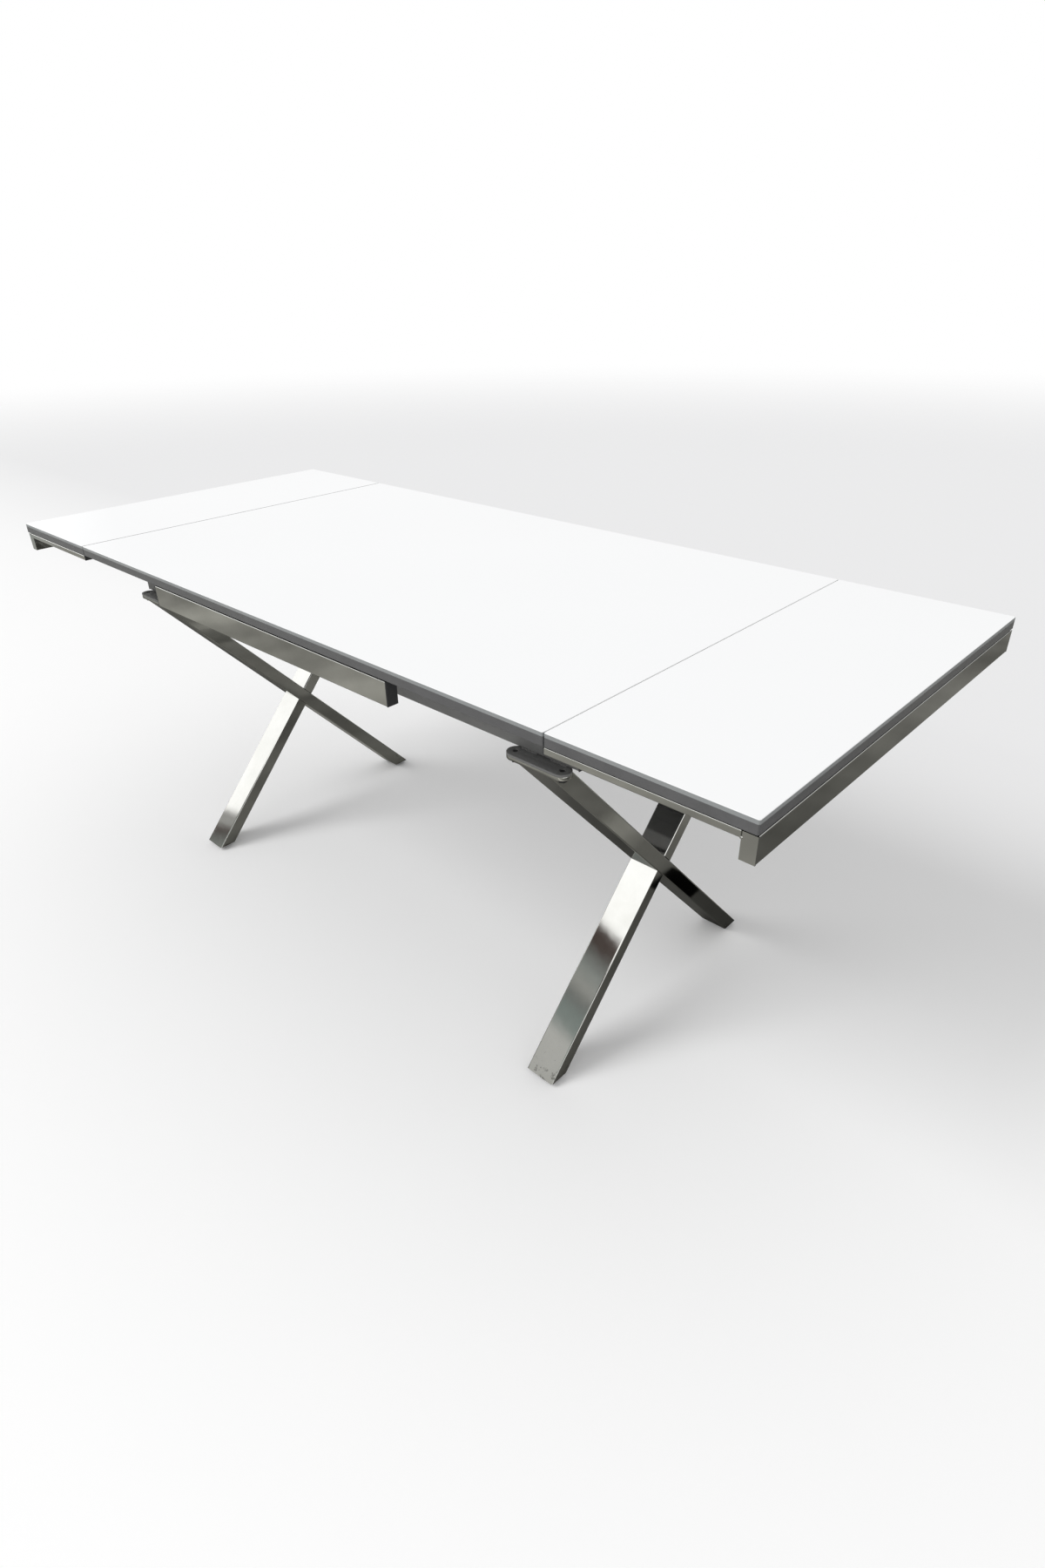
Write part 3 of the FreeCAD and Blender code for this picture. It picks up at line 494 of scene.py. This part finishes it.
def plate_master(thickness):
    """One plate about its bar's middle, standing on its lower face, its tongue towards -Y."""
    shape = bmesh.new()
    straight = PLATE_HALF - PLATE_END_RADIUS
    disc = bmesh.ops.create_circle(shape, segments=PLATE_END_SEGMENTS, radius=PLATE_END_RADIUS)
    for vert in disc["verts"]:
        vert.co.x += math.copysign(straight, vert.co.x)
    for side in (1, -1):
        hole = Matrix.Translation((side * BOLT_SPACING / 2, BOLT_Y - PLATE_Y, 0.0))
        bmesh.ops.create_circle(shape, segments=PLATE_HOLE_SEGMENTS, radius=PLATE_HOLE_RADIUS, matrix=hole)
    bmesh.ops.triangle_fill(shape, use_beauty=True, edges=shape.edges[:])
    raised = bmesh.ops.extrude_face_region(shape, geom=shape.faces[:])["geom"]
    top = [item for item in raised if isinstance(item, bmesh.types.BMVert)]
    bmesh.ops.translate(shape, verts=top, vec=(0.0, 0.0, thickness))
    rims = [edge for edge in shape.edges if edge.calc_face_angle(0.0) > SHARP_ANGLE]
    bmesh.ops.bevel(shape, geom=rims, offset=PLATE_EDGE, affect="EDGES", segments=2, profile=0.5,
                    material=-1)
    root = PLATE_END_RADIUS - PLATE_EDGE
    tip = PLATE_Y - TONGUE_TIP_Y
    size = Matrix.Diagonal((2 * TONGUE_HALF, tip - root, thickness, 1.0))
    place = Matrix.Translation((0.0, -(root + tip) / 2, thickness / 2))
    bmesh.ops.create_cube(shape, size=1.0, matrix=place @ size)
    return shape


def make_bolt_plates(materials):
    """The plates under the rails, and below them those on the leg tops."""
    lug_level = LEG_TOP + FLANGE_THICKNESS
    for name, node, slot, thickness, level in (
            ("frame_bolt_plates", "frame_lugs", "frame_grey", LUG_THICKNESS, lug_level),
            ("leg_bolt_plates", "leg_flanges", "chrome", FLANGE_THICKNESS, LEG_TOP)):
        places = []
        for along, across in corner_signs():
            flip = Matrix.Diagonal((1.0, across, 1.0, 1.0))
            places.append(Matrix.Translation((along * LEG_X, across * PLATE_Y, level)) @ flip)
        stamped_piece(name, node, plate_master(thickness), places, slot, materials)


# Screws with a cross recess; a loop is a share of the head's radius and a share of its height
RECESS_SHARE = 0.52
RECESS_DEPTH_SHARE = 0.55
PAN_LOOPS = ((0.70, 0.0), (0.88, 0.12), (0.97, 0.38), (1.0, 0.72), (1.0, 1.0))
FLAT_LOOPS = ((0.80, 0.0), (1.0, 0.04), (0.98, 0.16), (0.62, 1.0))


def screw_master(radius, height, length, shank_radius, loops):
    """A screw that faces up with its crown at the origin, grown by rings from a square of nine faces."""
    shape = bmesh.new()
    bmesh.ops.create_grid(shape, x_segments=3, y_segments=3, size=radius * RECESS_SHARE)
    bar = radius * RECESS_SHARE / 3
    cross = [face for face in shape.faces
             if min(abs(value) for value in face.calc_center_median().xy) < bar]
    rim = [edge for edge in shape.edges if edge.is_boundary]
    rings = [(radius * share, -height * drop) for share, drop in loops]
    rings += [(shank_radius, -height), (shank_radius, -length)]
    for ring_radius, level in rings:
        grown = bmesh.ops.extrude_edge_only(shape, edges=rim)["geom"]
        rim = [item for item in grown if isinstance(item, bmesh.types.BMEdge)]
        for vert in (item for item in grown if isinstance(item, bmesh.types.BMVert)):
            flat = vert.co.xy.normalized() * ring_radius
            vert.co = (flat.x, flat.y, level)
    rim = [edge for edge in shape.edges if edge.is_boundary]
    bmesh.ops.edgeloop_fill(shape, edges=rim)
    sunk = bmesh.ops.extrude_face_region(shape, geom=cross)["geom"]
    bmesh.ops.delete(shape, geom=[face for face in cross if face.is_valid], context="FACES")
    floor = [item for item in sunk if isinstance(item, bmesh.types.BMVert)]
    bmesh.ops.translate(shape, verts=floor, vec=(0.0, 0.0, -height * RECESS_DEPTH_SHARE))
    return shape


TAB_SCREW_RADIUS = 4 * MM
TAB_SCREW_HEIGHT = 2.4 * MM
TAB_SCREW_LENGTH = 15.4 * MM
TAB_SHANK_RADIUS = 2 * MM
TAB_SCREW_FACE = 744.6 * MM
TAB_SCREW_Y = 237 * MM
TAB_SCREW_PLACES = (-500 * MM, 0.0, 500 * MM)
SEAM_SCREW_RADIUS = 2.7 * MM
SEAM_SCREW_HEIGHT = 1.4 * MM
SEAM_SCREW_LENGTH = 11.5 * MM
SEAM_SHANK_RADIUS = 1.5 * MM
SEAM_SCREW_FACE = 748.5 * MM
SEAM_SCREW_Y = 150 * MM
SEAM_SCREW_PLACES = (620 * MM, 638 * MM)


def make_screws(materials):
    """Pan heads under the tabs, and flat heads in the seam plates."""
    places = []
    for x in TAB_SCREW_PLACES:
        for across in (1, -1):
            places.append(Matrix.Translation((x, across * TAB_SCREW_Y, TAB_SCREW_FACE)) @ TURN_OVER)
    pan_head = screw_master(TAB_SCREW_RADIUS, TAB_SCREW_HEIGHT, TAB_SCREW_LENGTH, TAB_SHANK_RADIUS,
                            PAN_LOOPS)
    stamped_piece("pan_head_screws", "top_fixing_screws", pan_head, places, "bare_steel", materials)
    places = []
    for along, across in corner_signs():
        for x in SEAM_SCREW_PLACES:
            place = Matrix.Translation((along * x, across * SEAM_SCREW_Y, SEAM_SCREW_FACE))
            places.append(place @ TURN_OVER)
    flat_head = screw_master(SEAM_SCREW_RADIUS, SEAM_SCREW_HEIGHT, SEAM_SCREW_LENGTH, SEAM_SHANK_RADIUS,
                             FLAT_LOOPS)
    stamped_piece("flat_head_screws", "seam_screws", flat_head, places, "bare_steel", materials)


# Weld beads: rows of overlapping scales
BEAD_RADIUS = 2.1 * MM
BEAD_PITCH = 2.3 * MM
BEAD_WOBBLE = 0.12
BEAD_WOBBLE_STEP = 2.4
BEAD_STRETCH = 0.75


def bead_run(shape, start, end):
    """Lays a ripple of scales from one point to another."""
    run = bmesh.new()
    start = Vector(start)
    along = Vector(end) - start
    count = max(2, round(along.length / BEAD_PITCH))
    turn = along.to_track_quat("X", "Z").to_matrix().to_4x4()
    for index in range(count + 1):
        swell = 1.0 + BEAD_WOBBLE * math.sin(BEAD_WOBBLE_STEP * index)
        size = Matrix.Diagonal((BEAD_STRETCH * swell, swell, swell, 1.0))
        place = Matrix.Translation(start + along * index / count)
        bmesh.ops.create_uvsphere(run, u_segments=8, v_segments=6, radius=BEAD_RADIUS,
                                  matrix=place @ turn @ size)
    stamp(shape, run, Matrix.Identity(4))
    run.free()


# Edges that the frame's and the legs' welds follow
RAIL_WIDTH = 40 * MM
RAIL_HEIGHT = 50 * MM
RAIL_FACE = 292 * MM
RAIL_INNER = RAIL_FACE - RAIL_WIDTH
RAIL_BOTTOM = LEG_TOP + FLANGE_THICKNESS + LUG_THICKNESS
RAIL_TOP = RAIL_BOTTOM + RAIL_HEIGHT
LUG_RUN_NEAR = 14 * MM
LUG_RUN_FAR = 42 * MM
MEMBER_PLACES = (-LEG_X, 0.0, LEG_X)
MEMBER_HALF = 20 * MM
BEAD_SETBACK = 2 * MM
TAB_HALF = 14 * MM
TAB_BOTTOM = 747 * MM
LEG_HALF = 30 * MM
LEG_TOP_NEAR = 280 * MM
LEG_TOP_FAR = 315 * MM


def make_frame_welds(materials):
    """Stitches on the bolt plates, and the runs round the cross members and the tabs."""
    shape = bmesh.new()
    for along, across in corner_signs():
        for side in (1, -1):
            near = along * LEG_X + side * LUG_RUN_NEAR
            far = along * LEG_X + side * LUG_RUN_FAR
            y = across * RAIL_FACE
            bead_run(shape, (near, y, RAIL_BOTTOM), (far, y, RAIL_BOTTOM))
    for x in MEMBER_PLACES:
        for across in (1, -1):
            y = across * RAIL_INNER
            for side in (x - MEMBER_HALF, x + MEMBER_HALF):
                bead_run(shape, (side, y, RAIL_BOTTOM + BEAD_SETBACK), (side, y, RAIL_TOP - BEAD_SETBACK))
            low = RAIL_BOTTOM + BEAD_SETBACK / 2
            bead_run(shape, (x - MEMBER_HALF, y, low), (x + MEMBER_HALF, y, low))
    for x in TAB_SCREW_PLACES:
        for across in (1, -1):
            y = across * RAIL_INNER
            bead_run(shape, (x - TAB_HALF, y, TAB_BOTTOM), (x + TAB_HALF, y, TAB_BOTTOM))
    new_piece("frame_welds", shape, materials["frame_grey"], "root")


def make_flange_welds(materials):
    """Runs under the flanges along both sides of each leg's top."""
    shape = bmesh.new()
    for along, across in corner_signs():
        for side in (1, -1):
            x = along * LEG_X + side * LEG_HALF
            bead_run(shape, (x, across * LEG_TOP_NEAR, LEG_TOP), (x, across * LEG_TOP_FAR, LEG_TOP))
    new_piece("flange_welds", shape, materials["chrome"], "root")


# Edges that a pull-out's welds follow
BEAM_FACE = 930 * MM
RUNNER_SIZE = 30 * MM
RUNNER_NEAR = 257 * MM
RUNNER_FAR = RUNNER_NEAR + RUNNER_SIZE
RUNNER_LOW = 713.5 * MM
RUNNER_HIGH = RUNNER_LOW + RUNNER_SIZE
ARM_NEAR = 381 * MM
ARM_FAR = 398 * MM
ARM_LOW = 739.5 * MM
ARM_WELD_TOP = 747 * MM


def make_pullout_welds(materials, name, along):
    """Runs where the runners and the arms meet the end beam."""
    shape = bmesh.new()
    x = along * BEAM_FACE
    for across in (1, -1):
        near, far = across * RUNNER_NEAR, across * RUNNER_FAR
        for level in (RUNNER_LOW, RUNNER_HIGH):
            bead_run(shape, (x, near, level), (x, far, level))
        for y in (near, far):
            bead_run(shape, (x, y, RUNNER_LOW), (x, y, RUNNER_HIGH))
        corner = (x, across * ARM_NEAR, ARM_LOW)
        bead_run(shape, corner, (x, across * ARM_FAR, ARM_LOW))
        bead_run(shape, corner, (x, across * ARM_NEAR, ARM_WELD_TOP))
    new_piece(name + "_welds", shape, materials["chrome"], name)


# Stage: a pale floor that fades out into the white surround
BLACK = (0.0, 0.0, 0.0)
WHITE = (1.0, 1.0, 1.0)
STAGE_SEGMENTS = 96
FLOOR_RADIUS = 14.0
FLOOR_FADE = (6.0, 13.0)
FLOOR_TONE = (0.92, 0.92, 0.92)
FLOOR_BACK_TONE = (0.80, 0.80, 0.805)
FLOOR_LIFT = (0.08, 0.08, 0.08)
# Places across Y between which the floor's tones turn
FLOOR_DARK_SIDE = 0.1
FLOOR_BRIGHT_SIDE = -1.3
FLOOR_LEG_SIDE = 0.5
FLOOR_FAR_SIDE = 1.5
# The floor as polished surfaces mirror it: its tint, its share of light in three places and its patches
MIRRORED_TINT = (0.92, 0.91, 0.83)
MIRRORED_MIDDLE = 0.16
MIRRORED_FRONT = 0.42
MIRRORED_BACK = 0.28
MIRRORED_PATCHES = (0.6, 1.4)
MIRRORED_PATCH_SCALE = 2.4
# It is lighter to the right of a turn along X
MIRRORED_SIDES = (0.68, 1.5)
MIRRORED_TURN = (0.7, 0.84)
MIRRORED_LEAST = 0.02
# Cards on the floor that only they mirror: limits along X and across Y, soft edge, change of share
DARK_CARD = ((0.712, 0.81), (0.29, 0.39), 0.006, -1.5)
LIGHT_CARD = ((0.95, 1.06), (0.3, 0.6), 0.03, 1.3)
MIDDLE_CARD = ((-1.0, 0.1), (-0.4, 0.5), 0.1, 0.8)
SIDE_CARD = ((0.5, 0.9), (-0.5, 0.22), 0.05, 0.15)
END_CARD = ((1.3, 9.0), (-9.0, 9.0), 0.08, -0.8)
FRONT_CARD = ((-9.0, 1.3), (-9.0, -0.9), 0.1, 0.32)
LEFT_CARD = ((0.1, 0.76), (0.37, 0.6), 0.02, 1.3)
FLOOR_CARDS = (DARK_CARD, LIGHT_CARD, MIDDLE_CARD, SIDE_CARD, END_CARD, FRONT_CARD, LEFT_CARD)


def mirrored_floor(tree, coords, x, y):
    """The share of its light that the floor shows to polished surfaces, place by place."""
    before = spread(tree, y, MIRRORED_MIDDLE, MIRRORED_FRONT, FLOOR_DARK_SIDE, FLOOR_BRIGHT_SIDE)
    behind = spread(tree, y, MIRRORED_MIDDLE, MIRRORED_BACK, FLOOR_DARK_SIDE, FLOOR_FAR_SIDE)
    cards = spread(tree, x, *MIRRORED_SIDES, *MIRRORED_TURN)
    for along, across, blur, change in FLOOR_CARDS:
        card = patch(tree, (x, y), (along, across), blur)
        cards = math_node(tree, "ADD", cards, math_node(tree, "MULTIPLY", card, change))
    cards = math_node(tree, "MAXIMUM", cards, MIRRORED_LEAST)
    patches = spread(tree, noise(tree, coords, MIRRORED_PATCH_SCALE, detail=3.0), *MIRRORED_PATCHES)
    patches = math_node(tree, "MULTIPLY", patches, cards)
    return math_node(tree, "MULTIPLY", math_node(tree, "MAXIMUM", before, behind), patches)


def floor_material():
    """Pale to the eye, dimmer and warmer to polished surfaces, and open from below."""
    material, tree, shader = new_material("pale_floor", Roughness=1.0, Specular_IOR_Level=0.0,
                                          Emission_Strength=1.0)
    coords, x, y, _ = object_axes(tree)
    path = tree.nodes.new("ShaderNodeLightPath")
    dulling = math_node(tree, "SUBTRACT", 1.0, mirrored_floor(tree, coords, x, y))
    dimming = math_node(tree, "MULTIPLY", path.outputs["Is Glossy Ray"], dulling)
    beyond = spread(tree, y, 0.0, 1.0, FLOOR_LEG_SIDE, FLOOR_FAR_SIDE)
    pale = mix_colours(tree, beyond, FLOOR_TONE, FLOOR_BACK_TONE)
    toned = mix_colours(tree, path.outputs["Is Glossy Ray"], pale, MIRRORED_TINT)
    two_tone(tree, shader, dimming, toned, BLACK)
    front = spread(tree, y, 0.0, 1.0, FLOOR_LEG_SIDE, FLOOR_BRIGHT_SIDE)
    lift = math_node(tree, "MULTIPLY", path.outputs["Is Camera Ray"], front)
    tree.links.new(mix_colours(tree, lift, BLACK, FLOOR_LIFT), shader.inputs["Emission Color"])
    distance = add(tree, "ShaderNodeVectorMath", operation="LENGTH")
    tree.links.new(coords, distance.inputs[0])
    fade = spread(tree, distance.outputs["Value"], 1.0, 0.0, *FLOOR_FADE, shape="SMOOTHSTEP")
    under = tree.nodes.new("ShaderNodeNewGeometry").outputs["Backfacing"]
    above = math_node(tree, "SUBTRACT", 1.0, under)
    tree.links.new(math_node(tree, "MULTIPLY", fade, above), shader.inputs["Alpha"])
    return material


def stage_object(name, shape, material):
    """Turns a finished bmesh into a part of the stage."""
    mesh = bpy.data.meshes.new(name)
    shape.to_mesh(mesh)
    shape.free()
    item = linked_object(name, mesh, material)
    return item


def make_floor():
    shape = bmesh.new()
    bmesh.ops.create_circle(shape, cap_ends=True, segments=STAGE_SEGMENTS, radius=FLOOR_RADIUS)
    stage_object("floor", shape, floor_material())


# A wall round the stage that only polished surfaces mirror, dim below a bright band
WALL_RADIUS = 4.0
WALL_HEIGHT = 6.0
WALL_GLOW = 2.0
WALL_SIDES = (-0.5, 1.0)
# The near side's tones by height; the bands run lower the further they are past a turn along X
LEFT_BAND_TURN = -2.35
LEFT_BAND_SLOPE = 1.78
RIGHT_BAND_TURN = 1.8
RIGHT_BAND_SLOPE = 0.9
NEAR_TONES = (
    (0.0, (0.30, 0.30, 0.28)),
    (0.9, (0.24, 0.24, 0.22)),
    (1.9, (0.36, 0.36, 0.345)),
    (2.12, (0.37, 0.37, 0.355)),
    (2.22, (0.17, 0.195, 0.185)),
    (2.34, (0.15, 0.175, 0.165)),
    (2.42, (0.12, 0.125, 0.12)),
    (2.52, (0.25, 0.25, 0.235)),
    (2.66, (0.19, 0.205, 0.195)),
    (2.8, (0.10, 0.10, 0.095)),
    (2.86, (0.045, 0.032, 0.028)),
    (2.98, (0.045, 0.032, 0.028)),
    (3.06, (0.95, 0.95, 0.94)),
    (4.8, (0.97, 0.97, 0.97)),
    (6.0, (0.5, 0.5, 0.5)),
)
# A low bright strip at the right, and a softer lower edge of the bright band at the left
STRIP_ALONG = (3.2, 9.0)
STRIP_HEIGHT = (0.4, 1.5)
STRIP_BLUR = 0.1
STRIP_TONE = (0.95, 0.95, 0.95)
SOFT_ALONG = (-9.0, -3.0)
SOFT_HEIGHT = (2.89, 3.0)
SOFT_BLUR = 0.04
SOFT_TONE = (0.27, 0.27, 0.26)
# The far side's tones by height
FAR_WALL_TURN = -0.3
FAR_WALL_SLOPE = 1.2
FAR_TONES = (
    (0.0, (0.20, 0.20, 0.19)),
    (0.6, (0.08, 0.08, 0.075)),
    (1.25, (0.07, 0.07, 0.065)),
    (1.7, (0.46, 0.46, 0.46)),
    (6.0, (0.5, 0.5, 0.5)),
)


def tone_ramp(tree, level, tones):
    """A ramp of tones by height on the wall."""
    ramp = tree.nodes.new("ShaderNodeValToRGB")
    stops = ramp.color_ramp.elements
    while len(stops) < len(tones):
        stops.new(position=0.5)
    for stop, (height, tone) in zip(stops, tones):
        stop.position = height / WALL_HEIGHT
        stop.color = rgba(tone)
    tree.links.new(math_node(tree, "DIVIDE", level, WALL_HEIGHT), ramp.inputs["Fac"])
    return ramp.outputs["Color"]


def slope_past(tree, level, first, second, slope):
    """A height that grows by a slope where the first value has passed the second."""
    past = math_node(tree, "MAXIMUM", math_node(tree, "SUBTRACT", first, second), 0.0)
    return math_node(tree, "ADD", level, math_node(tree, "MULTIPLY", past, slope))


def wall_material():
    """Glow by height: a banded wall on the near side and a plainer one on the far side."""
    material, tree, shader = new_material("reflector_wall", Emission_Strength=WALL_GLOW, Roughness=1.0,
                                          Base_Color=rgba(BLACK))
    _, x, y, z = object_axes(tree)
    level = slope_past(tree, z, LEFT_BAND_TURN, x, LEFT_BAND_SLOPE)
    level = slope_past(tree, level, x, RIGHT_BAND_TURN, RIGHT_BAND_SLOPE)
    near = tone_ramp(tree, level, NEAR_TONES)
    strip = patch(tree, (x, z), (STRIP_ALONG, STRIP_HEIGHT), STRIP_BLUR)
    near = mix_colours(tree, strip, near, STRIP_TONE)
    soft = patch(tree, (x, level), (SOFT_ALONG, SOFT_HEIGHT), SOFT_BLUR)
    near = mix_colours(tree, soft, near, SOFT_TONE)
    far = tone_ramp(tree, slope_past(tree, z, FAR_WALL_TURN, x, FAR_WALL_SLOPE), FAR_TONES)
    side = spread(tree, y, 0.0, 1.0, *WALL_SIDES)
    tree.links.new(mix_colours(tree, side, near, far), shader.inputs["Emission Color"])
    return material


def make_reflector_wall():
    shape = bmesh.new()
    middle = Matrix.Translation((0.0, 0.0, WALL_HEIGHT / 2))
    bmesh.ops.create_cone(shape, cap_ends=False, segments=STAGE_SEGMENTS, radius1=WALL_RADIUS,
                          radius2=WALL_RADIUS, depth=WALL_HEIGHT, matrix=middle)
    wall = stage_object("reflector_wall", shape, wall_material())
    wall.visible_camera = False
    wall.visible_diffuse = False
    wall.visible_transmission = False
    wall.visible_shadow = False


WORLD_LIGHT = 0.74


def make_world():
    """White to the eye and in reflections, and a softer sky as light."""
    world = bpy.data.worlds.new("studio")
    world.use_nodes = True
    tree = world.node_tree
    background = tree.nodes["Background"]
    background.inputs["Color"].default_value = rgba(WHITE)
    path = tree.nodes.new("ShaderNodeLightPath")
    seen = math_node(tree, "MAXIMUM", path.outputs["Is Camera Ray"], path.outputs["Is Glossy Ray"])
    seen = math_node(tree, "MAXIMUM", seen, path.outputs["Is Transmission Ray"])
    tree.links.new(spread(tree, seen, WORLD_LIGHT, 1.0, 0.0, 1.0), background.inputs["Strength"])
    bpy.context.scene.world = world


KEY_LAMP_FROM = (-0.45, -0.62, 0.68)
KEY_LAMP_STRENGTH = 1.42
KEY_LAMP_SPREAD = math.radians(30)


def make_key_lamp():
    """A soft parallel lamp from the front left, which polished surfaces don't mirror."""
    data = bpy.data.lights.new("key_lamp", "SUN")
    data.energy = KEY_LAMP_STRENGTH
    data.angle = KEY_LAMP_SPREAD
    lamp = bpy.data.objects.new("key_lamp", data)
    lamp.rotation_euler = Vector(KEY_LAMP_FROM).to_track_quat("Z", "Y").to_euler()
    lamp.visible_glossy = False
    bpy.context.scene.collection.objects.link(lamp)


def set_view():
    bpy.context.scene.view_settings.view_transform = "Standard"


make_camera()
materials = make_materials()
dress_cad_nodes(materials)
make_bolts(materials)
make_bolt_plates(materials)
make_screws(materials)
make_frame_welds(materials)
make_flange_welds(materials)
make_pullout_welds(materials, "right_pullout", 1)
make_pullout_welds(materials, "left_pullout", -1)
make_floor()
make_reflector_wall()
make_world()
make_key_lamp()
set_view()
